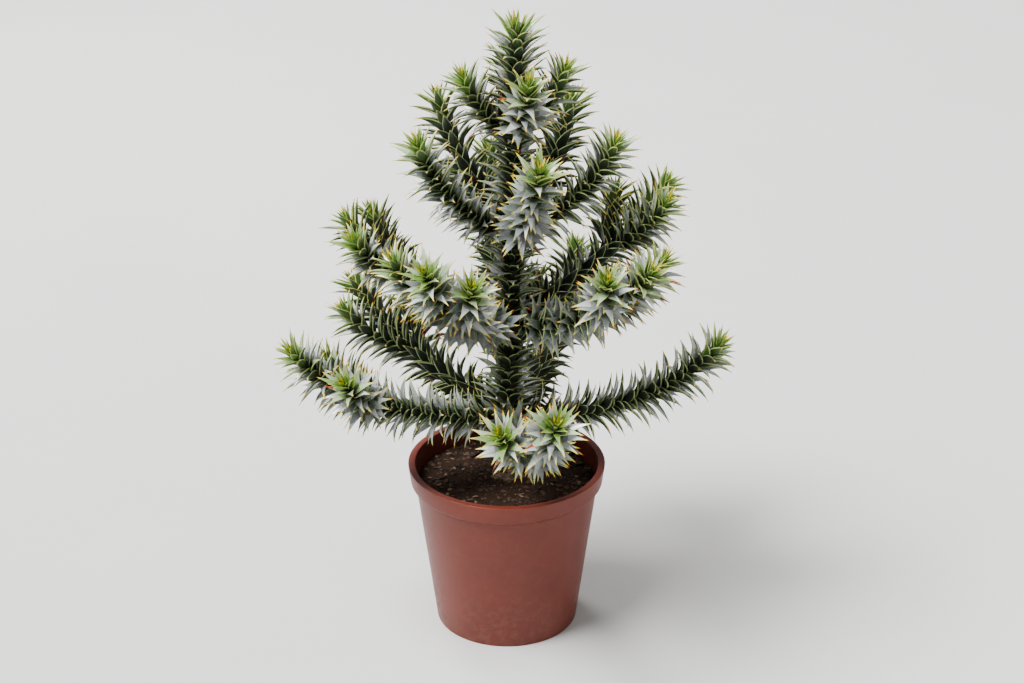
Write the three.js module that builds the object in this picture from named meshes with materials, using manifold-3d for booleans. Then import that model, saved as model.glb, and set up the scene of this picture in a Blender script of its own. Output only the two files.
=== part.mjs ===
// A young monkey puzzle tree in a round nursery pot, in millimetres, +Z up.
// The origin is the middle of the pot's flat underside.
// A straight trunk carries whorls of limbs that curve upwards. Trunk and limbs are clothed in stiff, keeled
// leaves with a spine at the tip, set along a golden-angle spiral, and each shoot ends in a young rosette.
// One leaf here stands for about three of the plant's own, so it is half as wide again as a real one.
import * as THREE from "three";
import { mergeVertices } from "three/addons/utils/BufferGeometryUtils.js";
import Module from "manifold-3d";

const wasm = await Module();
wasm.setup();

// Pot and compost
const POT_HEIGHT = 192;
const POT_FOOT_RADIUS = 79;
const POT_TOP_RADIUS = 104;
const POT_WALL = 2.5;
const POT_FOOT_BEVEL = 3;
const RIM_HEIGHT = 20;
const RIM_STEP = 5;
const RIM_BEVEL = 2;
const POT_SIDES = 32;
const SOIL_DEPTH_BELOW_RIM = 18;
const SOIL_DIP = 4; // at the pot's wall
const SOIL_FLAT = 0.7; // level share of its radius
const SOIL_LEVEL = POT_HEIGHT - SOIL_DEPTH_BELOW_RIM;
const CLEARANCE = 0.3; // between any two pieces
const CUT_CLEARANCE = CLEARANCE * 1.3; // round a cut, as flat facets lie closer than their curve

// Trunk
const TREE_HEIGHT = 535; // from the compost to the tip of the leader's leaves
const TRUNK_FOOT_RADIUS = 11;
const TRUNK_TOP_RADIUS = 6.5;
const FLARE_RADIUS = 7; // what the root flare adds at the compost
const FLARE_HEIGHT = 13;
const FLARE_ROOTS = 5;
const FLARE_LOBES = 0.3;
const TRUNK_LEAN = 12;
const TRUNK_SWAY = 3;
const TRUNK_SIDES = 10;
const TRUNK_SEGMENTS = 14;
const LEADER_LENGTH = 118; // from the trunk's tip to the top
const LEADER_SEGMENTS = 5;

// Whorls of limbs, the lowest first
const WHORLS = 4;
const LIMBS_IN_WHORL = 5;
const LIMBS_IN_TOP_WHORL = 4;
const LOWEST_WHORL = 74; // height over the compost
const HIGHEST_WHORL = 396;
const WHORL_SCATTER = 3; // in height, between the limbs of one whorl
const WHORL_TURN = 36; // degrees from one whorl to the next
const AZIMUTH_SCATTER = 5;
const LONGEST_LIMB = 262;
const SHORTEST_LIMB = 96;
const LENGTH_SCATTER = 0.08; // share of a limb's length
const LOWEST_LIMB_FOOT_PITCH = 8; // degrees above level
const HIGHEST_LIMB_FOOT_PITCH = 40;
const LOWEST_LIMB_TIP_PITCH = 50;
const HIGHEST_LIMB_TIP_PITCH = 74;
const FOOT_PITCH_SCATTER = 3;
const TIP_PITCH_SCATTER = 7;
const LIMB_SWEEP = 12; // degrees that a limb may turn sideways along its length
const BOUGH_LENGTH = 28; // the bare foot of a limb, between the trunk's own leaves
const BOUGH_RADIUS = 6;
const BOUGH_ROOTED_AT = 0.4; // share of the trunk's radius at which its bar starts, before it is cut clear
const STEM_RADIUS = 5;
const STEM_TIP_RADIUS = 3.2;
const STEM_SIDES = 5;
const CORE_RADIUS = 9.5; // the leaves' crowded feet, as one core round a stem
const CORE_SWELL = 18; // length over which a core grows from its stem, at its foot and at its tip
const CORE_RING_EVERY = 29;
const TOP_LIMB_THICKNESS = 0.56; // a top limb's thickness as a share of a lowest limb's
const STEP = 10; // between the points of a path
const TREE_SEED = 20; // of all the limbs' places and angles
const LIMB_SEED = 7; // of the first limb's leaves, and so on
const SEEDS_PER_WHORL = 100;
const LEADER_SEED = 77;
const SLEEVE_SEED = 900;

// Side shoots of the two lowest whorls
const FORKED_WHORLS = 2;
const FORK_PLACE = 0.56; // share of the limb's length
const FORK_PLACE_SCATTER = 0.04;
const FORK_LENGTH = 92;
const FORK_LENGTH_SCATTER = 0.1;
const FORK_ANGLE = 42; // degrees from the limb
const FORK_ANGLE_SCATTER = 5;
const FORK_DROP = 2; // degrees that a side shoot starts lower than its limb runs
const FORK_RISE = 30; // degrees that it curves up
const FORK_CHANCE = 0.9;

// Leaves
const GOLDEN_ANGLE = Math.PI * (3 - Math.sqrt(5));
const LEAF_LENGTH = 29; // clear of the core
const LEAF_SUNK = 4.5; // in the core, or half its radius where that is less
const LEAF_WIDTH = 19;
const LEAF_KEEL = 3; // how far the keel lies under the leaf's edges
const LEAF_WIDEST = 0.38; // share of the length
const LEAF_SPACING = 7.5; // along a shoot
const LEADER_LEAF_SPACING = 6;
const TRUNK_LEAF_SPACING = 4.2;
const FIRST_LEAF = 9; // from a shoot's foot
const FIRST_FORK_LEAF = 16; // from the middle of the limb that a side shoot leaves
const LEAF_SCATTER = 0.06; // share of a leaf's length
const LEAN_SCATTER = 4; // degrees
const TURN_SCATTER = 7; // degrees
const OPEN_ANGLE = 63; // degrees between an old leaf and its shoot
const CLOSED_ANGLE = 12; // at the shoot's tip
const OPENING_LENGTH = 13; // how far behind the tip the rosette has opened by two thirds
const YOUNG_LENGTH = 0.62; // a tip leaf's length as a share of a full one
const FULL_GROWN_AT = 20; // behind the tip
const SLEEVE_WALL = 5; // the crowded feet of the trunk's leaves
const SLEEVE_SEGMENT = 60;
const SLEEVE_MARGIN = 5; // from its ends to its first and last leaves
const LOWEST_LEAVES = 22; // height of the trunk's lowest leaves over the compost
const GAP_OVER_WHORL = 17; // kept free of trunk leaves
const GAP_UNDER_WHORL = 11;
const LEAF_GAP = 0.6; // a leaf closer than this to another piece is left out

const COLOURS = {
  pot: { color: "#8a4a38", roughness: 0.62, metalness: 0 },
  compost: { color: "#2c2119", roughness: 0.95, metalness: 0 },
  bark: { color: "#5d5140", roughness: 0.85, metalness: 0 },
  leaves: { color: "#56744a", roughness: 0.45, metalness: 0 },
};

const radians = (degrees) => (degrees * Math.PI) / 180;
const mix = (a, b, share) => a + (b - a) * share;

// The same numbers for the same seed, each from 0 to 1.
function randomFrom(seed) {
  let state = seed;
  return () => {
    state = (state * 1664525 + 1013904223) % 4294967296;
    return state / 4294967296;
  };
}

const around = (random, spread) => (random() * 2 - 1) * spread;

function solidOf(geometry) {
  const bare = geometry.clone();
  bare.deleteAttribute("normal");
  bare.deleteAttribute("uv");
  const merged = mergeVertices(bare, 1e-4);
  return new wasm.Manifold(
    new wasm.Mesh({
      numProp: 3,
      vertProperties: new Float32Array(merged.attributes.position.array),
      triVerts: new Uint32Array(merged.index.array),
    }),
  );
}

function meshOf(name, solid, look) {
  const made = solid.getMesh();
  const geometry = new THREE.BufferGeometry();
  geometry.setAttribute("position", new THREE.BufferAttribute(made.vertProperties, 3));
  geometry.setIndex(new THREE.BufferAttribute(made.triVerts, 1));
  geometry.computeVertexNormals();
  const mesh = new THREE.Mesh(geometry, new THREE.MeshStandardMaterial(COLOURS[look]));
  mesh.name = name;
  return mesh;
}

// A path is a list of points, with the direction that its cross-sections are measured from.
function pathOf(points, reference) {
  const curve = new THREE.CatmullRomCurve3(points);
  curve.arcLengthDivisions = points.length * 8;
  return { curve, reference, length: curve.getLength() };
}

// The place at a share of a path: its point, its tangent, and two directions across it.
function frameAt(path, share) {
  const point = path.curve.getPointAt(THREE.MathUtils.clamp(share, 0, 1));
  const tangent = path.curve.getTangentAt(THREE.MathUtils.clamp(share, 0, 1));
  const across = path.reference.clone().addScaledVector(tangent, -path.reference.dot(tangent)).normalize();
  return { point, tangent, across, beside: across.clone().cross(tangent) };
}

// A round bar bent along a stretch of a path: a cylinder whose rings are carried to the path's own frames.
function limbSolid(path, from, to, radiusAt, sides, segments) {
  const bar = new THREE.CylinderGeometry(1, 1, 1, sides, segments);
  const place = bar.attributes.position;
  for (let i = 0; i < place.count; i += 1) {
    const share = mix(from, to, place.getY(i) + 0.5);
    const angle = Math.atan2(place.getZ(i), place.getX(i));
    const reach = Math.hypot(place.getX(i), place.getZ(i)) * radiusAt(share, angle);
    const { point, across, beside } = frameAt(path, share);
    point.addScaledVector(across, Math.cos(angle) * reach).addScaledVector(beside, Math.sin(angle) * reach);
    place.setXYZ(i, point.x, point.y, point.z);
  }
  return solidOf(bar);
}

// A stiff blade: two faces above, and two below that meet in a keel from its root to its spine.
function leafSolid(root, along, upper, length, width) {
  const across = upper.clone().cross(along);
  const at = (x, y, z) =>
    root.clone().addScaledVector(along, x).addScaledVector(across, y).addScaledVector(upper, z);
  const widest = length * LEAF_WIDEST;
  const corners = [
    at(0, 0, 0),
    at(widest, width / 2, LEAF_KEEL),
    at(widest, -width / 2, LEAF_KEEL),
    at(length, 0, 0),
  ];
  const blade = new THREE.BufferGeometry().setFromPoints(corners);
  blade.setIndex([0, 2, 1, 1, 2, 3, 0, 1, 3, 0, 3, 2]);
  return solidOf(blade);
}

// What a leaf is like at a distance behind its shoot's tip.
function leafAge(behindTip) {
  const opened = 1 - Math.exp(-behindTip / OPENING_LENGTH);
  return {
    angle: radians(mix(CLOSED_ANGLE, OPEN_ANGLE, opened)),
    size: mix(YOUNG_LENGTH, 1, Math.min(1, behindTip / FULL_GROWN_AT)),
  };
}

// The leaves of a stretch of a path, in a golden-angle spiral from its foot to its tip.
function leavesAlong({ path, from, to, tip, spacing, radiusAt, random }) {
  const leaves = [];
  const count = Math.floor(((to - from) * path.length) / spacing);
  for (let i = 0; i <= count; i += 1) {
    const share = from + (i * spacing) / path.length;
    const behindTip = (tip - share) * path.length;
    const { angle, size } = leafAge(behindTip);
    const lean = angle + radians(around(random, LEAN_SCATTER));
    const turn = i * GOLDEN_ANGLE + radians(around(random, TURN_SCATTER));
    const { point, tangent, across, beside } = frameAt(path, share);
    const outward = across.clone().multiplyScalar(Math.cos(turn)).addScaledVector(beside, Math.sin(turn));
    const along = tangent.clone().multiplyScalar(Math.cos(lean)).addScaledVector(outward, Math.sin(lean));
    const upper = tangent.clone().multiplyScalar(Math.sin(lean)).addScaledVector(outward, -Math.cos(lean));
    const surface = radiusAt(share, turn);
    const sunk = Math.min(LEAF_SUNK, surface / 2);
    const root = point.clone().addScaledVector(outward, surface - sunk);
    const length = LEAF_LENGTH * size * (1 + around(random, LEAF_SCATTER)) + sunk;
    leaves.push(leafSolid(root, along, upper, length, LEAF_WIDTH * size));
  }
  return leaves;
}

function boxesNear(a, b) {
  const first = a.boundingBox();
  const second = b.boundingBox();
  const near = (k) => first.min[k] < second.max[k] + LEAF_GAP && second.min[k] < first.max[k] + LEAF_GAP;
  return [0, 1, 2].every(near);
}

// Leaves that keep clear of every other piece.
function clearOf(leaves, others) {
  return leaves.filter((leaf) =>
    others.every((other) => !boxesNear(leaf, other) || leaf.minGap(other, LEAF_GAP) >= LEAF_GAP),
  );
}

const joined = (solids) => wasm.Manifold.union(solids);

// A solid turned round the Z axis from a profile of radius and height.
function turned(profile, sides) {
  const points = profile.map(([radius, height]) => new THREE.Vector2(radius, height));
  const lathe = new THREE.LatheGeometry([...points, points[0]], sides);
  lathe.rotateX(Math.PI / 2);
  return solidOf(lathe);
}

const potRadiusAt = (height) => mix(POT_FOOT_RADIUS, POT_TOP_RADIUS, height / POT_HEIGHT);

function potSolid() {
  const rimFoot = POT_HEIGHT - RIM_HEIGHT;
  return turned(
    [
      [0, 0],
      [POT_FOOT_RADIUS - POT_FOOT_BEVEL, 0],
      [POT_FOOT_RADIUS, POT_FOOT_BEVEL],
      [potRadiusAt(rimFoot - RIM_STEP), rimFoot - RIM_STEP],
      [potRadiusAt(rimFoot) + RIM_STEP, rimFoot],
      [POT_TOP_RADIUS + RIM_STEP, POT_HEIGHT - RIM_BEVEL],
      [POT_TOP_RADIUS + RIM_STEP - RIM_BEVEL, POT_HEIGHT],
      [POT_TOP_RADIUS - POT_WALL, POT_HEIGHT],
      [potRadiusAt(POT_WALL) - POT_WALL, POT_WALL],
      [0, POT_WALL],
    ],
    POT_SIDES,
  );
}

function compostSolid() {
  const inside = (height) => potRadiusAt(height) - POT_WALL - CLEARANCE * 2;
  const foot = POT_WALL + CLEARANCE;
  const edge = SOIL_LEVEL - SOIL_DIP;
  return turned(
    [
      [0, foot],
      [inside(foot), foot],
      [inside(edge), edge],
      [inside(edge) * SOIL_FLAT, SOIL_LEVEL],
      [0, SOIL_LEVEL],
    ],
    POT_SIDES,
  );
}

// The trunk's own line leans a little and sways once. It starts just under the flat cut at its foot.
function trunkPath() {
  const foot = SOIL_LEVEL - CLEARANCE * 3;
  const height = SOIL_LEVEL + TREE_HEIGHT - foot;
  const steps = Math.round(height / STEP / 2);
  const points = [];
  for (let i = 0; i <= steps; i += 1) {
    const share = i / steps;
    const x = TRUNK_LEAN * share * share + TRUNK_SWAY * Math.sin(share * Math.PI) ** 2;
    const y = TRUNK_SWAY * Math.sin(share * Math.PI * 1.5) ** 2;
    points.push(new THREE.Vector3(x, y, foot + share * height));
  }
  return pathOf(points, new THREE.Vector3(1, 0, 0));
}

const trunk = trunkPath();
const trunkTop = 1 - LEADER_LENGTH / trunk.length;
const leaderTip = 1 - (LEAF_LENGTH * YOUNG_LENGTH) / trunk.length;

function trunkRadius(share, angle) {
  const lobes = 1 + FLARE_LOBES * Math.cos(angle * FLARE_ROOTS);
  const flare = FLARE_RADIUS * Math.exp((-share * trunk.length) / FLARE_HEIGHT) * lobes;
  return mix(TRUNK_FOOT_RADIUS, TRUNK_TOP_RADIUS, Math.min(1, share / trunkTop)) + flare;
}

// One limb's line: outwards, then up in a curve. The angles are in degrees.
function limbPath(start, { azimuth, length, footPitch, tipPitch, sweep }) {
  const points = [start.clone()];
  const steps = Math.round(length / STEP);
  for (let i = 0; i < steps; i += 1) {
    const share = (i + 0.5) / steps;
    const pitch = radians(mix(footPitch, tipPitch, share ** 1.5));
    const heading = radians(azimuth + sweep * share);
    const ahead = new THREE.Vector3(
      Math.cos(heading) * Math.cos(pitch),
      Math.sin(heading) * Math.cos(pitch),
      Math.sin(pitch),
    );
    points.push(points[i].clone().addScaledVector(ahead, length / steps));
  }
  return pathOf(points, new THREE.Vector3(0, 0, 1));
}

const whorlHeight = (whorl) => mix(LOWEST_WHORL, HIGHEST_WHORL, whorl / (WHORLS - 1));

// Every limb of the tree, from named sizes and one seeded stream of numbers.
function limbsOfTree() {
  const limbs = [];
  const random = randomFrom(TREE_SEED);
  for (let whorl = 0; whorl < WHORLS; whorl += 1) {
    const share = whorl / (WHORLS - 1);
    const count = whorl === WHORLS - 1 ? LIMBS_IN_TOP_WHORL : LIMBS_IN_WHORL;
    for (let limb = 0; limb < count; limb += 1) {
      const height = whorlHeight(whorl) + around(random, WHORL_SCATTER);
      const azimuth = whorl * WHORL_TURN + (limb / count) * 360 + around(random, AZIMUTH_SCATTER);
      const length = mix(LONGEST_LIMB, SHORTEST_LIMB, share ** 1.4) * (1 + around(random, LENGTH_SCATTER));
      const footPitch = mix(LOWEST_LIMB_FOOT_PITCH, HIGHEST_LIMB_FOOT_PITCH, share);
      const tipPitch = mix(LOWEST_LIMB_TIP_PITCH, HIGHEST_LIMB_TIP_PITCH, share);
      const trunkShare = height / trunk.length;
      const path = limbPath(frameAt(trunk, trunkShare).point, {
        azimuth,
        length,
        footPitch: footPitch + around(random, FOOT_PITCH_SCATTER),
        tipPitch: tipPitch + around(random, TIP_PITCH_SCATTER),
        sweep: around(random, LIMB_SWEEP),
      });
      const forks = [1, -1].filter(() => random() < FORK_CHANCE && whorl < FORKED_WHORLS);
      const thickness = mix(1, TOP_LIMB_THICKNESS, share);
      const name = `${whorl + 1}_${limb + 1}`;
      const seed = SEEDS_PER_WHORL * whorl + limb + LIMB_SEED;
      limbs.push({ name, path, trunkShare, thickness, forks, seed });
    }
  }
  return limbs;
}

const stemRadiusOf = (limb) => (share) => mix(STEM_RADIUS, STEM_TIP_RADIUS, share) * limb.thickness;

// A shoot's core: as thin as its stem at both ends, and thick with leaf bases between them.
function coreRadiusOf(path, from, to, stemAt, thickness) {
  return (share) => {
    const fromEnd = Math.min(share - from, to - share) * path.length;
    return mix(stemAt(share), CORE_RADIUS * thickness ** 0.5, Math.min(1, fromEnd / CORE_SWELL));
  };
}

function boughRadiusOf(limb) {
  const full = BOUGH_LENGTH * 2;
  return (share) => mix(BOUGH_RADIUS, STEM_RADIUS, (share * limb.path.length) / full) * limb.thickness;
}

// The bare foot of a limb: a tapering bar from just inside the trunk, cut clear of it.
function boughSolid(limb, trunkClear) {
  const start = (trunkRadius(limb.trunkShare, 0) * BOUGH_ROOTED_AT) / limb.path.length;
  const whole = limbSolid(limb.path, start, boughEnd(limb), boughRadiusOf(limb), STEM_SIDES, 1);
  return whole.subtract(trunkClear);
}

const boughEnd = (limb) => (trunkRadius(limb.trunkShare, 0) + BOUGH_LENGTH) / limb.path.length;

// A side shoot leaves its limb level with it, at an angle, and curves up as the limb does.
function forkPath(limb, side, random) {
  const { point, tangent } = frameAt(limb.path, FORK_PLACE + around(random, FORK_PLACE_SCATTER));
  const turn = side * (FORK_ANGLE + around(random, FORK_ANGLE_SCATTER));
  const footPitch = THREE.MathUtils.radToDeg(Math.asin(tangent.z)) - FORK_DROP;
  return limbPath(point, {
    azimuth: THREE.MathUtils.radToDeg(Math.atan2(tangent.y, tangent.x)) + turn,
    length: FORK_LENGTH * (1 + around(random, FORK_LENGTH_SCATTER)),
    footPitch,
    tipPitch: footPitch + FORK_RISE,
    sweep: 0,
  });
}

function coreSolid(path, from, radiusAt) {
  const segments = Math.max(3, Math.round((path.length * (1 - from)) / CORE_RING_EVERY));
  return limbSolid(path, from, 1, radiusAt, STEM_SIDES, segments);
}

// A limb's leafy shoot with its side shoots: one core, and the stretches of path that its leaves are set on.
function shootOf(limb) {
  const random = randomFrom(limb.seed);
  const foot = boughEnd(limb) + CLEARANCE / limb.path.length;
  const stemAt = stemRadiusOf(limb);
  const stretch = (path, from, firstLeaf) => ({
    path,
    from: from + firstLeaf / path.length,
    to: 1,
    tip: 1,
    spacing: LEAF_SPACING,
    radiusAt: coreRadiusOf(path, from, 1, stemAt, limb.thickness),
    random,
  });
  const sides = limb.forks.map((side) => stretch(forkPath(limb, side, random), 0, FIRST_FORK_LEAF));
  const main = stretch(limb.path, foot, FIRST_LEAF);
  const cores = [
    coreSolid(limb.path, foot, main.radiusAt),
    ...sides.map(({ path, radiusAt }) => coreSolid(path, 0, radiusAt)),
  ];
  return { name: limb.name, core: joined(cores), stretches: [main, ...sides] };
}

// The leader's own shoot, which stands on the trunk's tip.
function leaderShoot() {
  const foot = trunkTop + CLEARANCE / trunk.length;
  const stemAt = (share) => mix(TRUNK_TOP_RADIUS, STEM_TIP_RADIUS, (share - foot) / (leaderTip - foot));
  const radiusAt = coreRadiusOf(trunk, foot, leaderTip, stemAt, 1);
  const core = limbSolid(trunk, foot, leaderTip, radiusAt, STEM_SIDES, LEADER_SEGMENTS);
  const stretch = {
    path: trunk,
    from: foot + FIRST_LEAF / trunk.length,
    to: leaderTip,
    tip: leaderTip,
    spacing: LEADER_LEAF_SPACING,
    radiusAt,
    random: randomFrom(LEADER_SEED),
  };
  return { name: "leader", core, stretches: [stretch] };
}

// The trunk's own leaves below a whorl, on a thin sleeve that is cut clear of the trunk.
function sleeveOf(whorl, trunkClear, others) {
  const bottom = whorl === 0 ? LOWEST_LEAVES : whorlHeight(whorl - 1) + GAP_OVER_WHORL;
  const top = whorlHeight(whorl) - GAP_UNDER_WHORL;
  const shareOf = (height) => height / trunk.length;
  const radiusAt = (share, angle) => trunkRadius(share, angle) + SLEEVE_WALL;
  const segments = Math.max(1, Math.round((top - bottom) / SLEEVE_SEGMENT));
  const sleeve = limbSolid(trunk, shareOf(bottom), shareOf(top), radiusAt, TRUNK_SIDES, segments);
  const leaves = leavesAlong({
    path: trunk,
    from: shareOf(bottom + SLEEVE_MARGIN),
    to: shareOf(top - SLEEVE_MARGIN),
    tip: 1,
    spacing: TRUNK_LEAF_SPACING,
    radiusAt,
    random: randomFrom(SLEEVE_SEED + whorl),
  });
  return joined([sleeve, ...clearOf(leaves, others)]).subtract(trunkClear);
}

function tree() {
  const trunkWhole = limbSolid(trunk, 0, trunkTop, trunkRadius, TRUNK_SIDES, TRUNK_SEGMENTS);
  const trunkSolid = trunkWhole.trimByPlane([0, 0, 1], SOIL_LEVEL + CLEARANCE);
  const clearRadius = (share, angle) => trunkRadius(share, angle) + CUT_CLEARANCE;
  const trunkClear = limbSolid(trunk, 0, trunkTop, clearRadius, TRUNK_SIDES, TRUNK_SEGMENTS);
  const limbs = limbsOfTree();
  const boughs = limbs.map((limb) => boughSolid(limb, trunkClear));
  const shoots = [...limbs.map(shootOf), leaderShoot()];
  const bare = [trunkSolid, ...boughs, ...shoots.map((shoot) => shoot.core)];

  const whole = new THREE.Group();
  whole.add(meshOf("pot", potSolid(), "pot"));
  whole.add(meshOf("compost", compostSolid(), "compost"));
  whole.add(meshOf("trunk", trunkSolid, "bark"));
  boughs.forEach((bough, i) => whole.add(meshOf(`bough_${limbs[i].name}`, bough, "bark")));

  const dressed = [];
  shoots.forEach(({ name, core, stretches }) => {
    const others = [...bare.filter((solid) => solid !== core), ...dressed];
    const solid = joined([core, ...clearOf(stretches.flatMap(leavesAlong), others)]);
    dressed.push(solid);
    whole.add(meshOf(`foliage_${name}`, solid, "leaves"));
  });
  for (let whorl = 0; whorl < WHORLS; whorl += 1) {
    const others = [...bare.filter((solid) => solid !== trunkSolid), ...dressed];
    const sleeve = sleeveOf(whorl, trunkClear, others);
    dressed.push(sleeve);
    whole.add(meshOf(`trunk_leaves_${whorl + 1}`, sleeve, "leaves"));
  }
  return whole;
}

export default tree();
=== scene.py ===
# %% [markdown]
# # A young monkey puzzle tree in a nursery pot
# Whorls of limbs rise from a straight trunk, and trunk and limbs are clothed in stiff leaves, each one a
# keeled blade with a pale margin and a spine. The plant was built first as plain solids. This lesson loads
# them as a fixed frame and gives each of them its real surface: a moulded pot, crumbly compost, bark with
# leaf scars, and about four thousand leaves that are grown by the same rule as the solids, only finer.

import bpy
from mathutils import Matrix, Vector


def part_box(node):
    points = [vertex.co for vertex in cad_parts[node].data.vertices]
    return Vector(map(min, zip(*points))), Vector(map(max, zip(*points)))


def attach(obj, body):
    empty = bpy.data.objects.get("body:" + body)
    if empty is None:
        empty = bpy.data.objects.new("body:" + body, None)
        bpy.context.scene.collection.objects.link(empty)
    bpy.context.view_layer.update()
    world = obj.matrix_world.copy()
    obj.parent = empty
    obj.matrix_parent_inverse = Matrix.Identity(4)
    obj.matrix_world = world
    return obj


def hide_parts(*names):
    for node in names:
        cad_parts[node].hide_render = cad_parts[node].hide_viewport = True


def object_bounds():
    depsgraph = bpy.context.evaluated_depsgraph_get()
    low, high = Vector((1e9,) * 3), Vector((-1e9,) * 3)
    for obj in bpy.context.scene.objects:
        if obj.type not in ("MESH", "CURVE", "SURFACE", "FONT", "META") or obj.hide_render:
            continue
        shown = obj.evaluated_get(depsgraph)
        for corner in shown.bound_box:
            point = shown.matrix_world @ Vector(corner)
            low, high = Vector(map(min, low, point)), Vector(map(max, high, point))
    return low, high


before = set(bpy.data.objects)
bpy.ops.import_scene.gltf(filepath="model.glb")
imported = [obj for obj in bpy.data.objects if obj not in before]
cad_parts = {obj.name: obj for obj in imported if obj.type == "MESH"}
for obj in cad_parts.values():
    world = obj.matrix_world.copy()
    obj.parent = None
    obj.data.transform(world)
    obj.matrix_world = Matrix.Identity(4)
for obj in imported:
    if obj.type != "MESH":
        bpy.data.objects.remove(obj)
cad_box = [list(corner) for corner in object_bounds()]

import math

import bmesh
import bpy
import numpy as np
from mathutils import Matrix, Vector, noise
from mathutils.kdtree import KDTree

MM = 0.001
print("frame:", len(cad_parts), "solids in a box of", cad_box)

# %% [markdown]
# ## The view
# The picture was taken from a standing person's height, so the camera looks down on the plant by about 25
# degrees. A long lens keeps the limbs in front and behind at nearly the same scale, as it does in the
# picture.

# %% Camera
LENS = 75
SENSOR = 36
LOOK_DOWN = math.radians(25)
LOOK_ROUND = math.radians(8)
CAMERA_DISTANCE = 2.3
LOOK_AT = Vector((0.006, 0.0, 0.338))

camera = bpy.data.objects.new("camera", bpy.data.cameras.new("camera"))
bpy.context.scene.collection.objects.link(camera)
camera.data.lens = LENS
camera.data.sensor_width = SENSOR
level = math.cos(LOOK_DOWN)
towards_camera = Vector((math.sin(LOOK_ROUND) * level, -math.cos(LOOK_ROUND) * level, math.sin(LOOK_DOWN)))
camera.location = LOOK_AT + towards_camera * CAMERA_DISTANCE
camera.rotation_euler = towards_camera.to_track_quat("Z", "Y").to_euler()
bpy.context.scene.camera = camera
print("camera at", tuple(round(x, 2) for x in camera.location))

# %% [markdown]
# ## The light
# The picture has the light of a bright, clouded sky: it comes from above, has no hard shadows, and leaves the
# inside of the plant dark. So the brightest lamp is a sun behind thin cloud: a wide patch of light, from the
# upper left, as strong at the floor's edge as in its middle. A square lamp at the front right lights the side
# that is turned away from it, and one behind draws the far edges. The rest comes from the sky all round.


# %% Lamps
def lamp_at(name, kind, place, strength, colour=(1.0, 1.0, 1.0)):
    """A lamp that faces the middle of the plant."""
    lamp = bpy.data.objects.new(name, bpy.data.lights.new(name, kind))
    bpy.context.scene.collection.objects.link(lamp)
    lamp.data.energy = strength
    lamp.data.color = colour
    lamp.location = place
    lamp.rotation_euler = (Vector(place) - LOOK_AT).to_track_quat("Z", "Y").to_euler()
    return lamp


LAMP_SIZE = 1.0
BRIGHT_PATCH = math.radians(32)  # how wide the cloud before the sun glows
veiled_sun = lamp_at("veiled_sun", "SUN", (-1.1, -0.7, 2.6), 6.4, (0.97, 0.98, 1.0))
veiled_sun.data.angle = BRIGHT_PATCH
front_lamp = lamp_at("front_lamp", "AREA", (2.1, -1.7, 1.6), 14, (1.0, 0.98, 0.95))
far_lamp = lamp_at("far_lamp", "AREA", (-1.5, 2.0, 2.1), 44)
for lamp in (front_lamp, far_lamp):
    lamp.data.size = LAMP_SIZE
print("lamps:", len(bpy.data.lights))

# %% [markdown]
# ## Making a material
# Each material is a small tree of nodes. One function turns a colour as a painter's hex value into the linear
# light that the shader works with. Another adds a node, with its settings and its links, so that each
# material reads from top to bottom. Two things are on nearly every surface, so each has a function too:
# patches of a darker and a paler shade, and a fine grain in relief.


# %% Material helpers
FACTOR, COLOUR_A, COLOUR_B, MIXED = 0, 6, 7, 2  # the sockets of a Mix node for colours


def linear(hex_colour):
    """An sRGB hex colour as linear red, green, blue and alpha."""
    channels = [int(hex_colour[i : i + 2], 16) / 255 for i in (1, 3, 5)]
    lit = [c / 12.92 if c <= 0.04045 else ((c + 0.055) / 1.055) ** 2.4 for c in channels]
    return (*lit, 1.0)


def fill(tree, node, inputs):
    """Gives a node's inputs their values, or links them to sockets."""
    for name, value in inputs.items():
        if isinstance(value, bpy.types.NodeSocket):
            tree.links.new(value, node.inputs[name])
        else:
            node.inputs[name].default_value = value


def add_node(tree, kind, inputs=None, **settings):
    """Adds a node with its settings and its inputs."""
    made = tree.nodes.new("ShaderNode" + kind)
    for name, value in settings.items():
        setattr(made, name, value)
    fill(tree, made, inputs or {})
    return made


def new_material(name):
    """An empty material with its tree, its main shader and the coordinates that patterns read, in metres."""
    material = bpy.data.materials.new(name)
    material.use_nodes = True
    tree = material.node_tree
    place = tree.nodes.new("ShaderNodeTexCoord").outputs["Object"]
    return material, tree, tree.nodes["Principled BSDF"], place


def per_metre(millimetres):
    """The scale of a pattern whose features are that many millimetres apart."""
    return 1000 / millimetres


def patches(tree, place, wide_mm, dark, pale, detail, roughness=0.5):
    """The colour of a surface with patches of that width, from a dark shade to a pale one."""
    pattern = {"Vector": place, "Scale": per_metre(wide_mm), "Detail": detail, "Roughness": roughness}
    clouds = add_node(tree, "TexNoise", pattern)
    shades = {FACTOR: clouds.outputs["Fac"], COLOUR_A: linear(dark), COLOUR_B: linear(pale)}
    return add_node(tree, "Mix", shades, data_type="RGBA").outputs[MIXED]


def fine_grain(tree, place, wide_mm, detail, strength, deep):
    """The normals of a surface with grains of that width in relief."""
    grain = add_node(tree, "TexNoise", {"Vector": place, "Scale": per_metre(wide_mm), "Detail": detail})
    relief = add_node(tree, "Bump", {"Height": grain.outputs["Fac"], "Strength": strength, "Distance": deep})
    return relief.outputs["Normal"]


# %% [markdown]
# ## Working by hand, in code
# The pot, the compost and the first leaf are modelled as by hand: a primitive is added and then shaped in
# edit mode. An operator works on whatever is selected, so each step first says what that is.


# %% Editing helpers
def take(obj):
    """Makes obj the only selected object, and the active one."""
    bpy.ops.object.select_all(action="DESELECT")
    obj.select_set(True)
    bpy.context.view_layer.objects.active = obj


def edit(obj, kind="FACE"):
    """Opens obj in edit mode with nothing selected."""
    take(obj)
    bpy.ops.object.mode_set(mode="EDIT")
    bpy.ops.mesh.select_mode(type=kind)
    bpy.ops.mesh.select_all(action="DESELECT")


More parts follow.
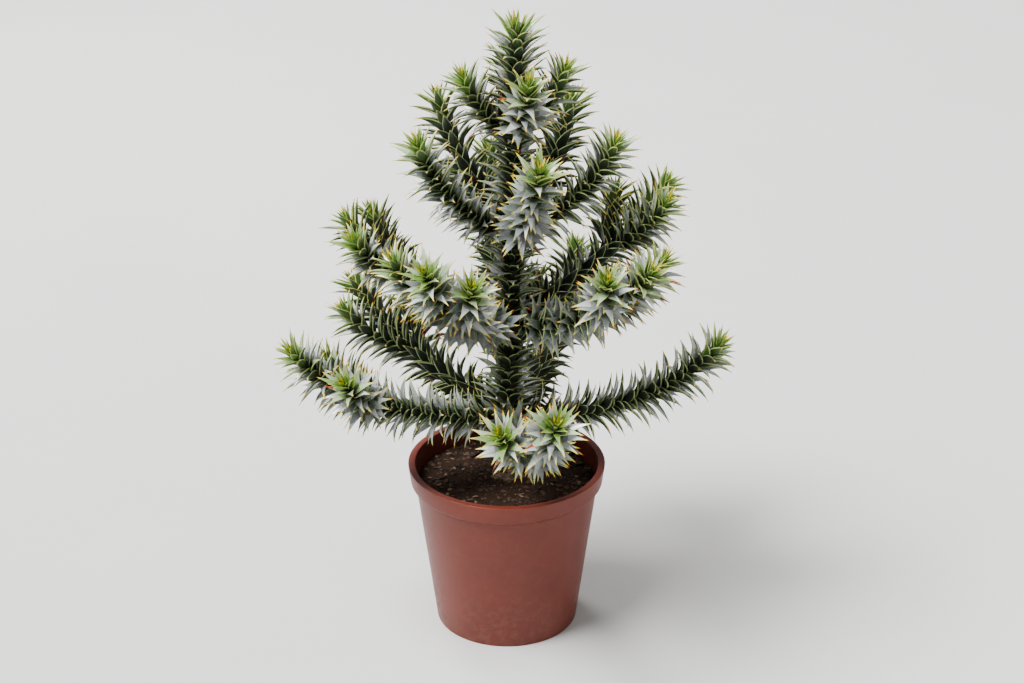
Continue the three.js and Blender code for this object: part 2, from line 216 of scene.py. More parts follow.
def select_faces(obj, wanted):
    """Selects the faces for which wanted(middle, normal) is true."""
    shape = bmesh.from_edit_mesh(obj.data)
    for face in shape.faces:
        face.select_set(wanted(face.calc_center_median(), face.normal))
    shape.select_flush(True)
    bmesh.update_edit_mesh(obj.data)


def leave():
    """Closes edit mode."""
    bpy.ops.object.mode_set(mode="OBJECT")


def apply_modifier(obj, kind, **settings):
    """Adds a modifier to obj and applies it at once."""
    take(obj)
    made = obj.modifiers.new(kind.lower(), kind)
    for name, value in settings.items():
        setattr(made, name, value)
    bpy.ops.object.modifier_apply(modifier=made.name)


def finish_piece(obj, nodes, smooth_under=35):
    """Shades the piece, puts its place in its mesh, and says what it rides on and stands for."""
    take(obj)
    bpy.ops.object.transform_apply(location=True, rotation=True, scale=True)
    bpy.ops.object.shade_smooth_by_angle(angle=math.radians(smooth_under))
    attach(obj, "root")
    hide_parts(*nodes)
    print(f"{obj.name}: {len(obj.data.polygons)} faces, stands for {len(nodes)} solids")


# %% [markdown]
# ## The floor
# A pale painted floor, wide enough that no view shows its edge. It only catches shadows, so a disc with a
# faint unevenness in its paint is enough.


# %% Floor
def floor_paint():
    """Matt emulsion on a screed floor: even and pale, with clouds that are hardly seen."""
    material, tree, shader, place = new_material("matt_floor_paint")
    paint = patches(tree, place, 400, "#bfbebb", "#c6c5c2", detail=2.0)
    fill(tree, shader, {"Base Color": paint, "Roughness": 0.9})
    return material


FLOOR_RADIUS = 60
FLOOR_SIDES = 96
bpy.ops.object.select_all(action="DESELECT")
bpy.ops.mesh.primitive_circle_add(vertices=FLOOR_SIDES, radius=FLOOR_RADIUS, fill_type="NGON")
floor = bpy.context.object
floor.name = "floor"
floor.data.materials.append(floor_paint())
print("floor:", FLOOR_RADIUS, "m")

# %% [markdown]
# ## The sky
# Cloud is bright overhead and dim lower down, and that is what the waxy leaves mirror. Along the horizon lies
# a band of haze as bright as the floor, so that the floor's edge melts into it in views from the side.

# %% Sky
# by height, from 0 at the horizon to 1 overhead
SKY_BRIGHTNESS = ((0.0, 1.32), (0.1, 1.22), (0.32, 0.3), (0.9, 0.5))


def clouded_sky():
    """Even cloud over a band of haze."""
    world = bpy.data.worlds.new("clouded_sky")
    world.use_nodes = True
    tree = world.node_tree
    direction = add_node(tree, "TexCoord").outputs["Generated"]
    height = add_node(tree, "SeparateXYZ", {"Vector": direction})
    ramp = add_node(tree, "ValToRGB", {"Fac": height.outputs["Z"]})
    stops = ramp.color_ramp.elements
    while len(stops) < len(SKY_BRIGHTNESS):
        stops.new(0.5)
    for stop, (place, brightness) in zip(stops, SKY_BRIGHTNESS):
        stop.position = place
        stop.color = (brightness, brightness, brightness, 1)
    fill(tree, tree.nodes["Background"], {"Color": linear("#eef1f5"), "Strength": ramp.outputs["Color"]})
    return world


bpy.context.scene.world = clouded_sky()
bpy.context.scene.view_settings.look = "AgX - Medium High Contrast"

# %% [markdown]
# ## The pot
# Between the shoots the picture shows the mouth of a brick-red pot, of the kind that nurseries grow trees in:
# a tapered pot of moulded plastic with a wide band round its rim. It is turned round one axis, so it could be
# spun from a profile. Here a cylinder is drawn up step by step instead, as the wall of such a mould rises:
# each step extrudes the top face and widens it.

# %% Pot sizes
pot_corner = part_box("pot")[1]
POT_HEIGHT = pot_corner.z
RIM_RADIUS = pot_corner.x
RIM_HEIGHT = 20 * MM
RIM_STEP = 5 * MM
POT_WALL = 2.5 * MM
POT_TOP_RADIUS = RIM_RADIUS - RIM_STEP
POT_FOOT_RADIUS = 79 * MM
POT_SIDES = 128
POT_EDGE = 1.6 * MM  # how far its edges are rounded
FOOT_RING = 9 * MM  # what it stands on, round a bottom that is a little hollow
FOOT_HOLLOW = 1.2 * MM
LEVEL = 0.9  # a face with more of its normal upright than this is taken as level
SOIL_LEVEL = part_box("compost")[1].z
print("pot:", round(POT_HEIGHT / MM), "mm high and", round(2 * RIM_RADIUS / MM), "mm wide")


def pot_radius(height):
    """The outside of the tapered wall, without the rim."""
    return POT_FOOT_RADIUS + (POT_TOP_RADIUS - POT_FOOT_RADIUS) * height / POT_HEIGHT


# %% Pot shape
def open_cylinder(name, sides, radius, depth, middle):
    """A cylinder on the pot's axis, opened in edit mode. middle is the height of its centre."""
    bpy.ops.object.select_all(action="DESELECT")
    bpy.ops.mesh.primitive_cylinder_add(vertices=sides, radius=radius, depth=depth, location=(0, 0, middle))
    cylinder = bpy.context.object
    cylinder.name = name
    bpy.ops.object.transform_apply(location=True)
    edit(cylinder)
    return cylinder


def widen(radius, new_radius, height):
    """Widens or narrows the selected ring round the pot's axis."""
    share = new_radius / radius
    bpy.ops.transform.resize(value=(share, share, 1), center_override=(0, 0, height))


def draw_up(radius, height, new_radius, new_height):
    """Extrudes the selected face to a new height and radius."""
    bpy.ops.mesh.extrude_region_move(TRANSFORM_OT_translate={"value": (0, 0, new_height - height)})
    widen(radius, new_radius, new_height)
    return new_radius, new_height


def make_pot():
    """Draws the wall and the rim band up, turns in at the mouth, and goes down inside to the bottom."""
    wall_top = POT_HEIGHT - RIM_HEIGHT - RIM_STEP
    pot = open_cylinder("pot_shell", POT_SIDES, POT_FOOT_RADIUS, wall_top, wall_top / 2)
    select_faces(pot, lambda middle, normal: normal.z > LEVEL)
    widen(POT_FOOT_RADIUS, pot_radius(wall_top), wall_top)
    ring = (pot_radius(wall_top), wall_top)
    band_foot = POT_HEIGHT - RIM_HEIGHT
    ring = draw_up(*ring, pot_radius(band_foot) + RIM_STEP, band_foot)
    ring = draw_up(*ring, RIM_RADIUS, POT_HEIGHT)
    mouth = POT_TOP_RADIUS - POT_WALL
    bpy.ops.mesh.inset(thickness=RIM_RADIUS - mouth)
    ring = draw_up(mouth, POT_HEIGHT, pot_radius(wall_top) - POT_WALL, wall_top)
    draw_up(*ring, pot_radius(POT_WALL) - POT_WALL, POT_WALL)
    bpy.ops.mesh.select_all(action="DESELECT")
    select_faces(pot, lambda middle, normal: normal.z < -LEVEL and middle.z < MM)
    bpy.ops.mesh.inset(thickness=FOOT_RING)
    bpy.ops.mesh.extrude_region_move(TRANSFORM_OT_translate={"value": (0, 0, FOOT_HOLLOW)})
    leave()
    sharp = math.radians(28)
    apply_modifier(pot, "BEVEL", width=POT_EDGE, segments=4, limit_method="ANGLE", angle_limit=sharp)
    return pot


pot = make_pot()

# %% [markdown]
# ## The pot's plastic
# Recycled polypropylene, coloured right through like brick and moulded in a tool with a fine grain. It gives
# a satin shine that breaks up in the grain, and colour that varies little. A nursery pot isn't clean: dried
# splashes of compost and water marks lie on the lower wall and under the rim, where they aren't rubbed off.


# %% Pot plastic
def brick_red_polypropylene():
    """Moulded polypropylene, IOR 1.49: brick red, satin, with a fine grain and a film of dust."""
    material, tree, shader, place = new_material("brick_red_moulded_polypropylene")
    plastic = patches(tree, place, 45, "#62291f", "#733528", detail=4.0, roughness=0.6)
    height = add_node(tree, "SeparateXYZ", {"Vector": place}).outputs["Z"]
    by_height = {"Value": height, "From Min": 0.0, "From Max": 80 * MM, "To Min": 0.8, "To Max": 0.15}
    low_wall = add_node(tree, "MapRange", by_height).outputs["Result"]
    pattern = {"Vector": place, "Scale": per_metre(9), "Detail": 6.0, "Roughness": 0.72}
    drips = add_node(tree, "TexNoise", pattern).outputs["Fac"]
    by_drip = {"Value": drips, "From Min": 0.46, "From Max": 0.8, "To Min": 0.0, "To Max": 0.7}
    dried = add_node(tree, "MapRange", by_drip).outputs["Result"]
    film = add_node(tree, "Math", {0: dried, 1: low_wall}, operation="MULTIPLY").outputs["Value"]
    dusted = {FACTOR: film, COLOUR_A: plastic, COLOUR_B: linear("#8d6f5e")}
    colour = add_node(tree, "Mix", dusted, data_type="RGBA").outputs[MIXED]
    by_film = {"Value": film, "From Min": 0.0, "From Max": 0.5, "To Min": 0.4, "To Max": 0.8}
    shine = add_node(tree, "MapRange", by_film).outputs["Result"]
    grain = fine_grain(tree, place, 0.9, detail=2.0, strength=0.18, deep=0.2 * MM)
    fill(tree, shader, {"Base Color": colour, "Roughness": shine, "IOR": 1.49, "Normal": grain})
    return material


pot.data.materials.append(brick_red_polypropylene())
finish_piece(pot, ["pot"], smooth_under=40)

# %% [markdown]
# ## The compost
# Peat and fine bark, watered and settled, a little lower at the wall than in the middle, and heaped against
# the foot of the trunk. A disc with many rings of faces is pushed up and down by a random height, which gives
# crumbs that cast shadows. The coarser bits on top are separate flakes.

# %% Compost sizes
SOIL_DIP = 4 * MM  # how much lower the compost lies at the wall
SOIL_FLAT = 0.7  # level share of its radius
HEAP_HIGH = 3.2 * MM  # at the trunk
HEAP_WIDE = 27 * MM
SOIL_DEPTH = 40 * MM  # what is modelled of it: nobody sees deeper
SOIL_GAP = 0.6 * MM  # to the pot's wall
SOIL_RADIUS = pot_radius(SOIL_LEVEL) - POT_WALL - SOIL_GAP
SOIL_TAPER = 0.93  # its radius at its foot beside that at its top
SOIL_SIDES = 256
SOIL_RINGS = 80
CRUMB = 1.7 * MM
LUMPS_MM, COARSE_MM, FINE_MM = 13, 6, 2.8
LUMPS, COARSE, FINE = 0.6, 0.9, 0.45  # how high each kind stands, in CRUMBs


def soil_height(radius):
    """The settled surface, without its crumbs."""
    outer = max(0.0, (radius / SOIL_RADIUS - SOIL_FLAT) / (1 - SOIL_FLAT))
    return SOIL_LEVEL - SOIL_DIP * outer - CRUMB + HEAP_HIGH * math.exp(-((radius / HEAP_WIDE) ** 2))


def crumbs(point):
    """The random height of the crumbs at a point, down or up by about CRUMB."""
    lumps = noise.noise(Vector(point) * per_metre(LUMPS_MM))
    coarse = abs(noise.noise(Vector(point) * per_metre(COARSE_MM)))
    fine = noise.noise(Vector(point) * per_metre(FINE_MM))
    return CRUMB * (lumps * LUMPS + coarse * COARSE + fine * FINE)


# %% Compost shape
def make_compost():
    """Insets the top of a cylinder ring by ring, then lifts each point by the height of the crumbs."""
    foot = SOIL_LEVEL - SOIL_DEPTH
    compost = open_cylinder("compost_surface", SOIL_SIDES, SOIL_RADIUS, SOIL_DEPTH, foot + SOIL_DEPTH / 2)
    select_faces(compost, lambda middle, normal: normal.z < -LEVEL)
    widen(SOIL_RADIUS, SOIL_RADIUS * SOIL_TAPER, foot)
    select_faces(compost, lambda middle, normal: normal.z > LEVEL)
    for _ in range(SOIL_RINGS):
        bpy.ops.mesh.inset(thickness=SOIL_RADIUS / (SOIL_RINGS + 2))
    bpy.ops.mesh.merge(type="CENTER")
    leave()
    for vertex in compost.data.vertices:
        if vertex.co.z > SOIL_LEVEL - MM:
            radius = math.hypot(vertex.co.x, vertex.co.y)
            vertex.co.z = soil_height(radius) + crumbs(vertex.co)
    return compost


compost = make_compost()

# %% [markdown]
# ## What compost is made of
# Moist peat is nearly black-brown and has no shine at all. Its crumbs differ in how dry they are, so a coarse
# pattern moves between two browns, and a fine one gives the surface its grit.


# %% Compost material
def moist_peat():
    """Peat with composted bark: dark, matt and gritty."""
    material, tree, shader, place = new_material("moist_peat_and_bark")
    peat = patches(tree, place, 14, "#1d140e", "#4b382a", detail=5.0, roughness=0.7)
    grit = add_node(tree, "TexVoronoi", {"Vector": place, "Scale": per_metre(2.4)}).outputs["Distance"]
    gritty = {FACTOR: grit, COLOUR_A: linear("#2a1e16"), COLOUR_B: peat}
    colour = add_node(tree, "Mix", gritty, data_type="RGBA").outputs[MIXED]
    relief = add_node(tree, "Bump", {"Height": grit, "Strength": 0.7, "Distance": 0.8 * MM}).outputs["Normal"]
    surface = {"Base Color": colour, "Roughness": 0.95, "Specular IOR Level": 0.25, "Normal": relief}
    fill(tree, shader, surface)
    return material


compost.data.materials.append(moist_peat())
finish_piece(compost, ["compost"], smooth_under=60)

# %% [markdown]
# ## Many copies as one mesh
# Flakes, and later the leaves, are one shape repeated hundreds of times. It is modelled once, its vertices
# are read into an array, and the array is placed over and over, with each copy's own size and turn. All
# copies become one mesh, because the model keeps no instances.


# %% Joined copies
def blank_of(obj):
    """The vertices and faces of a modelled shape, which is then removed."""
    vertices = np.array([vertex.co for vertex in obj.data.vertices], float)
    faces = [tuple(face.vertices) for face in obj.data.polygons]
    bpy.data.objects.remove(obj)
    return vertices, faces


def joined_copies(name, placed, faces, materials, material_of_face):
    """One mesh from copies placed as an array of copy, vertex and axis."""
    copies, per_copy = placed.shape[:2]
    firsts = range(0, copies * per_copy, per_copy)
    all_faces = [tuple(first + corner for corner in face) for first in firsts for face in faces]
    mesh = bpy.data.meshes.new(name)
    mesh.from_pydata(placed.reshape(-1, 3).tolist(), [], all_faces)
    for material in materials:
        mesh.materials.append(material)
    mesh.polygons.foreach_set("material_index", np.asarray(material_of_face, np.int32).ravel())
    mesh.update()
    obj = bpy.data.objects.new(name, mesh)
    bpy.context.scene.collection.objects.link(obj)
    return obj


def unit(vectors):
    """Vectors of the same direction that are one long."""
    return vectors / np.linalg.norm(vectors, axis=-1, keepdims=True)


def mix(a, b, share):
    """The value at a share of the way from a to b."""
    return a + (b - a) * share


# %% [markdown]
# ## Flakes on the compost
# Bits of bark and wood fibre, 2 to 9 mm long, washed clean by watering and so paler than the peat. A ball
# with twenty faces, pressed flat, is enough for each.

# %% Flakes
FLAKES = 1300
FLAKE_SEED = 31
FLAKE_LONG = (2 * MM, 9 * MM)
FLAKE_BROAD = (0.35, 0.85)  # shares of its length
FLAKE_THICK = (0.25, 0.5)  # shares of its breadth
FLAKE_PROUD = 0.3  # share of its thickness by which it stands over the crumbs
FLAKE_TILT = 0.22
FLAKE_RAGGED = 0.1
FLAKES_OUT_TO = 0.94  # share of the compost's area
TRUNK_CLEAR = 17 * MM  # no flakes under the root flare
FLAKE_KINDS = (  # name, dark shade, pale shade, share of the flakes
    ("weathered_bark_flake", "#33241b", "#5d4636", 0.46),
    ("pale_wood_fibre", "#5a4735", "#84705a", 0.1),
    ("dark_bark_flake", "#1f1510", "#3d2c23", 0.44),
)


def fibre(name, dark, pale):
    """Weathered bark or wood fibre: matt and mottled."""
    material, tree, shader, place = new_material(name)
    fill(tree, shader, {"Base Color": patches(tree, place, 1.6, dark, pale, detail=3.0), "Roughness": 0.9})
    return material


def make_flakes():
    """Strews pressed, ragged balls over the compost."""
    bpy.ops.object.select_all(action="DESELECT")
    bpy.ops.mesh.primitive_ico_sphere_add(subdivisions=1, radius=0.5)
    ball, faces = blank_of(bpy.context.object)
    numbers = np.random.default_rng(FLAKE_SEED)
    radius = np.sqrt(numbers.uniform((TRUNK_CLEAR / SOIL_RADIUS) ** 2, FLAKES_OUT_TO, FLAKES)) * SOIL_RADIUS
    angle = numbers.uniform(0, 2 * math.pi, FLAKES)
    long = mix(*FLAKE_LONG, numbers.uniform(0, 1, FLAKES) ** 2)
    broad = long * numbers.uniform(*FLAKE_BROAD, FLAKES)
    thick = broad * numbers.uniform(*FLAKE_THICK, FLAKES)
    placed = np.empty((FLAKES, len(ball), 3))
    for i in range(FLAKES):
        point = Vector((radius[i] * math.cos(angle[i]), radius[i] * math.sin(angle[i]), 0))
        point.z = soil_height(radius[i]) + crumbs((point.x, point.y, SOIL_LEVEL)) + thick[i] * FLAKE_PROUD
        turn = Matrix.Rotation(numbers.uniform(0, 2 * math.pi), 3, "Z")
        turn = turn @ Matrix.Rotation(numbers.normal(0, FLAKE_TILT), 3, "X")
        shaped = (ball + numbers.normal(0, FLAKE_RAGGED, ball.shape)) * (long[i], broad[i], thick[i])
        placed[i] = shaped @ np.array(turn).T + np.array(point)
    kinds = [fibre(name, dark, pale) for name, dark, pale, _ in FLAKE_KINDS]
    kind_of_flake = numbers.choice(len(kinds), FLAKES, p=[share for *_, share in FLAKE_KINDS])
    return joined_copies("bark_flakes", placed, faces, kinds, np.repeat(kind_of_flake, len(faces)))


finish_piece(make_flakes(), [])

# %% [markdown]
# ## The lines of the tree
# Every limb follows a line: outwards from the trunk, then up in a curve. The solids were made by a rule from
# a few sizes and one seeded stream of numbers, so the same rule with the same seed gives the same lines here,
# and bark and leaves can be laid along them.

# %% Numbers and paths
GOLDEN_ANGLE = math.pi * (3 - math.sqrt(5))


def stream(seed):
    """The same numbers for the same seed, each from 0 to 1."""
    state = seed
    while True:
        state = (state * 1664525 + 1013904223) % 2**32
        yield state / 2**32


def around(numbers, spread):
    """The next number, stretched to lie between -spread and spread."""
    return (next(numbers) * 2 - 1) * spread


def path_through(points, reference):
    """A line through points, with the direction that its cross-sections are measured from."""
    points = np.array(points)
    along = np.concatenate([[0], np.cumsum(np.linalg.norm(np.diff(points, axis=0), axis=1))])
    tangents = unit(np.gradient(points, along, axis=0))
    length = along[-1]
    return {"points": points, "tangents": tangents, "along": along, "length": length, "reference": reference}


def read_along(path, rows, shares):
    """The rows that belong to the path's points, read between them at shares of its length."""
    at = np.clip(shares, 0, 1) * path["length"]
    return np.stack([np.interp(at, path["along"], path[rows][:, axis]) for axis in range(3)], axis=-1)


def frames_at(path, shares):
    """Points of a path with their tangents, and two directions across it."""
    tangent = unit(read_along(path, "tangents", shares))
    reference = np.array(path["reference"], float)
    across = unit(reference - tangent * (tangent @ reference)[..., None])
    return read_along(path, "points", shares), tangent, across, np.cross(across, tangent)


# %% Trunk line
CLEARANCE = 0.3 * MM
STEP = 10 * MM
TREE_HEIGHT = 535 * MM
TRUNK_FOOT_RADIUS = 11 * MM
TRUNK_TOP_RADIUS = 6.5 * MM
FLARE_RADIUS = 7 * MM  # what the root flare adds at the compost
FLARE_HEIGHT = 13 * MM
FLARE_ROOTS = 5
FLARE_LOBES = 0.3
TRUNK_LEAN = 12 * MM
TRUNK_SWAY = 3 * MM
LEADER_LENGTH = 118 * MM
LEADER_TIP = 18 * MM  # the length of the topmost leaves


def trunk_line():
    """Straight up, with a slight lean and sway."""
    foot = SOIL_LEVEL - 3 * CLEARANCE
    height = SOIL_LEVEL + TREE_HEIGHT - foot
    steps = round(height / STEP / 2)  # longer ones than a limb's, because it is nearly straight
    points = []
    for i in range(steps + 1):
        share = i / steps
        x = TRUNK_LEAN * share**2 + TRUNK_SWAY * math.sin(share * math.pi) ** 2
        y = TRUNK_SWAY * math.sin(share * math.pi * 1.5) ** 2
        points.append((x, y, foot + share * height))
    return path_through(points, (1, 0, 0))


trunk = trunk_line()
trunk_top = 1 - LEADER_LENGTH / trunk["length"]
leader_tip = 1 - LEADER_TIP / trunk["length"]


def trunk_radius(share, angle=math.pi / 2 / FLARE_ROOTS):
    """The trunk's taper, with the root flare and its lobes."""
    lobes = 1 + FLARE_LOBES * np.cos(angle * FLARE_ROOTS)
    flare = FLARE_RADIUS * np.exp(-share * trunk["length"] / FLARE_HEIGHT) * lobes
    return mix(TRUNK_FOOT_RADIUS, TRUNK_TOP_RADIUS, np.minimum(1, share / trunk_top)) + flare


print("trunk:", round(trunk["length"] / MM), "mm to the leader's tip")

# %% Limb lines
TREE_SEED, LIMB_SEED, SEEDS_PER_WHORL = 20, 7, 100
WHORLS = 4
LIMBS_IN_WHORL = 5
LIMBS_IN_TOP_WHORL = 4
WHORL_HEIGHTS = (74 * MM, 396 * MM)  # of the lowest and the highest, over the compost
WHORL_SCATTER = 3 * MM
WHORL_TURN = 36
AZIMUTH_SCATTER = 5
LIMB_LENGTHS = (262 * MM, 96 * MM)  # in the lowest whorl and the highest
SHORT_LATE = 1.4  # a power over 1: most limbs keep much of the lowest ones' length
LENGTH_SCATTER = 0.08
FOOT_PITCHES = (8, 40)
TIP_PITCHES = (50, 74)
RISE_LATE = 1.5  # a power over 1: most of a limb's rise comes towards its tip
FOOT_PITCH_SCATTER = 3
TIP_PITCH_SCATTER = 7
LIMB_SWEEP = 12
TOP_LIMB_THICKNESS = 0.56
FORKED_WHORLS = 2
FORK_CHANCE = 0.9


def limb_line(start, azimuth, length, foot_pitch, tip_pitch, sweep):
    """Outwards, then up in a curve. The angles are in degrees."""
    points = [np.array(start, float)]
    steps = round(length / STEP)
    for i in range(steps):
        share = (i + 0.5) / steps
        pitch = math.radians(mix(foot_pitch, tip_pitch, share**RISE_LATE))
        heading = math.radians(azimuth + sweep * share)
        ahead = (math.cos(heading) * math.cos(pitch), math.sin(heading) * math.cos(pitch), math.sin(pitch))
        points.append(points[-1] + np.array(ahead) * length / steps)
    return path_through(points, (0, 0, 1))


def limbs_of_tree():
    """Every limb, with the draws in the order in which the solids were made."""
    numbers = stream(TREE_SEED)
    limbs = []
    for whorl in range(WHORLS):
        share = whorl / (WHORLS - 1)
        count = LIMBS_IN_TOP_WHORL if whorl == WHORLS - 1 else LIMBS_IN_WHORL
        for limb in range(count):
            trunk_share = (mix(*WHORL_HEIGHTS, share) + around(numbers, WHORL_SCATTER)) / trunk["length"]
            azimuth = whorl * WHORL_TURN + limb / count * 360 + around(numbers, AZIMUTH_SCATTER)
            length = mix(*LIMB_LENGTHS, share**SHORT_LATE) * (1 + around(numbers, LENGTH_SCATTER))
            foot_pitch = mix(*FOOT_PITCHES, share) + around(numbers, FOOT_PITCH_SCATTER)
            tip_pitch = mix(*TIP_PITCHES, share) + around(numbers, TIP_PITCH_SCATTER)
            start = frames_at(trunk, np.array(trunk_share))[0]
            line = limb_line(start, azimuth, length, foot_pitch, tip_pitch, around(numbers, LIMB_SWEEP))
            sides = [side for side in (1, -1) if next(numbers) < FORK_CHANCE and whorl < FORKED_WHORLS]
            made = {"name": f"{whorl + 1}_{limb + 1}", "whorl": whorl, "line": line, "sides": sides}
            made["trunk_share"] = trunk_share
            made["thickness"] = mix(1, TOP_LIMB_THICKNESS, share)
            made["seed"] = SEEDS_PER_WHORL * whorl + limb + LIMB_SEED
            limbs.append(made)
    return limbs


limbs = limbs_of_tree()
print("limbs:", len(limbs))

# %% Side shoots
FORK_PLACE = 0.56
FORK_PLACE_SCATTER = 0.04
FORK_LENGTH = 92 * MM
FORK_LENGTH_SCATTER = 0.1
FORK_ANGLE = 42
FORK_ANGLE_SCATTER = 5
FORK_DROP = 2
FORK_RISE = 30
BOUGH_LENGTH = 28 * MM  # the thick foot of a limb
FOOT_LEAF = 9 * MM  # how far from the trunk a limb's first leaves stand
FIRST_LEAF = 4 * MM
FIRST_FORK_LEAF = 14 * MM
ON_TRUNK = -1  # the number of the trunk as a stem


def fork_line(limb, side, numbers):
    """A side shoot leaves its limb level with it, at an angle, and curves up as the limb does."""
    place = np.array(FORK_PLACE + around(numbers, FORK_PLACE_SCATTER))
    point, tangent, _, _ = frames_at(limb["line"], place)
    turn = side * (FORK_ANGLE + around(numbers, FORK_ANGLE_SCATTER))
    pitch = math.degrees(math.asin(tangent[2])) - FORK_DROP
    azimuth = math.degrees(math.atan2(tangent[1], tangent[0])) + turn
    length = FORK_LENGTH * (1 + around(numbers, FORK_LENGTH_SCATTER))
    return limb_line(point, azimuth, length, pitch, pitch + FORK_RISE, 0)


def shoots_of_tree():
    """Every leafy shoot: a limb's own, its side shoots', and last the leader's."""
    shoots = []
    for limb in limbs:
        numbers = stream(limb["seed"])
        forks = [fork_line(limb, side, numbers) for side in limb["sides"]]
        common = {"group": f"whorl_{limb['whorl'] + 1}", "thickness": limb["thickness"], "tip": 1}
        leafy_from = (trunk_radius(limb["trunk_share"]) + FOOT_LEAF) / limb["line"]["length"]
        shoots.append({"line": limb["line"], "from": leafy_from, "fork": False, **common})
        for line in forks:
            shoots.append({"line": line, "from": FIRST_FORK_LEAF / line["length"], "fork": True, **common})
    leader = {"group": "leader", "thickness": 1, "tip": leader_tip, "fork": False}
    shoots.append({"line": trunk, "from": trunk_top + FIRST_LEAF / trunk["length"], **leader})
    for number, shoot in enumerate(shoots):
        shoot["number"] = number
        shoot["stem"] = ON_TRUNK if shoot["line"] is trunk else number
    return shoots


shoots = shoots_of_tree()
print("shoots:", len(shoots))


def shoots_in(group):
    """The shoots of a whorl, or the leader's."""
    return [shoot for shoot in shoots if shoot["group"] == group]


# %% [markdown]
# ## Leaf cushions
# Each leaf of a monkey puzzle runs down into a diamond-shaped cushion, and the cushions cover the whole stem
# in the spiral of the golden angle. They stay as scars where the old leaves have dropped. So the relief is
# worked out from the same spacing as the leaves. A grid is rolled into a tube along the line, and each of its
# vertices is pushed out where it lies on a cushion.

# %% Stem relief
LEAF_SPACING = 1.36 * MM
TRUNK_LEAF_SPACING = 1.2 * MM
LOWEST_LEAVES = 24 * MM
CUSHION_BROAD = 0.62  # half its width, in radii of the stem
CUSHION_LONG = math.pi / CUSHION_BROAD  # half its length, in leaf spacings: the cushions then tile the stem
CUSHION_RISE = 0.8 * MM


def cushions(distance, angle, first, spacing):
    """How high the leaf cushions stand at a distance along a stem and an angle round it, from 0 to 1."""
    nearest = np.round((distance - first) / spacing)
    height = np.zeros_like(distance)
    reach = math.ceil(CUSHION_LONG)
    for step in range(-reach, reach + 1):
        leaf = nearest + step
        off_along = np.abs(distance - first - leaf * spacing) / (CUSHION_LONG * spacing)
        off_round = np.abs((angle - leaf * GOLDEN_ANGLE + math.pi) % (2 * math.pi) - math.pi) / CUSHION_BROAD
        height = np.maximum(height, 1 - off_along - off_round)
    return np.sqrt(np.clip(height, 0, 1))


FISSURE_DEEP = 2.6 * MM
FISSURE_WIDE_MM = 4.4
CRACK_SHARE = 0.45  # how deep the fine cracks are beside the fissures
CRACK_WIDE_MM = 1.9
FISSURES_UP_TO = 45 * MM  # over the foot
FISSURES_ABOVE = 0.25  # how deep they still are beside those at the foot
FISSURE_RUN = (1, 1, 0.3)  # they are about three times as long as broad


def fissures(points, foot):
    """How far cork stands out or in at points of the trunk: cracks run up it, deepest at the foot."""
    squeezed = points * FISSURE_RUN
    rough = sum(
        share * np.array([noise.noise(Vector(point)) for point in squeezed * per_metre(wide)])
        for share, wide in ((1, FISSURE_WIDE_MM), (CRACK_SHARE, CRACK_WIDE_MM))
    )
    fading = np.exp(-(points[:, 2] - foot) / FISSURES_UP_TO)
    return FISSURE_DEEP * rough * mix(FISSURES_ABOVE, 1, fading)


def rolled_tube(name, line, stretch, radius_at, sides, ring_every, leaves, cork=False):
    """A grid rolled into a closed tube along a stretch of a line.

    leaves holds how far along the line the first leaf stands, and the spacing of the rest.
    """
    start, end = stretch
    rings = round((end - start) * line["length"] / ring_every)
    bpy.ops.object.select_all(action="DESELECT")
    bpy.ops.mesh.primitive_grid_add(x_subdivisions=sides, y_subdivisions=rings, size=2)
    tube = bpy.context.object
    tube.name = name
    flat = np.array([vertex.co for vertex in tube.data.vertices], float)
    share = mix(start, end, (flat[:, 1] + 1) / 2)
    angle = -(flat[:, 0] + 1) * math.pi
    point, _, across, beside = frames_at(line, share)
    radius = radius_at(share, angle)
    radius = radius + CUSHION_RISE * (cushions(share * line["length"], angle, *leaves) - 0.5)
    outward = across * np.cos(angle)[:, None] + beside * np.sin(angle)[:, None]
    if cork:
        radius = radius + fissures(point + outward * radius[:, None], line["points"][0][2])
    tube.data.vertices.foreach_set("co", (point + outward * radius[:, None]).ravel())
    edit(tube, "VERT")
    bpy.ops.mesh.select_all(action="SELECT")
    bpy.ops.mesh.remove_doubles(threshold=0.001 * MM)
    bpy.ops.mesh.select_all(action="DESELECT")
    bpy.ops.mesh.select_non_manifold()
    bpy.ops.mesh.edge_face_add()
    bpy.ops.mesh.select_all(action="SELECT")
    bpy.ops.mesh.normals_make_consistent(inside=False)
    leave()
    return tube


# %% [markdown]
# ## Bark
# Grey-brown cork at the foot of the trunk, and above it the dark green of stems that are still alive on the
# outside, kept darker than the stems are as painted shade in the gaps between the leaves. It gives no shine;
# what shows it is the light on the cushions' edges, fine cross-wise wrinkles, and darker dirt between the
# cushions.

# %% Bark material
CORK_TO = SOIL_LEVEL + 18 * MM
GREEN_FROM = SOIL_LEVEL + 60 * MM


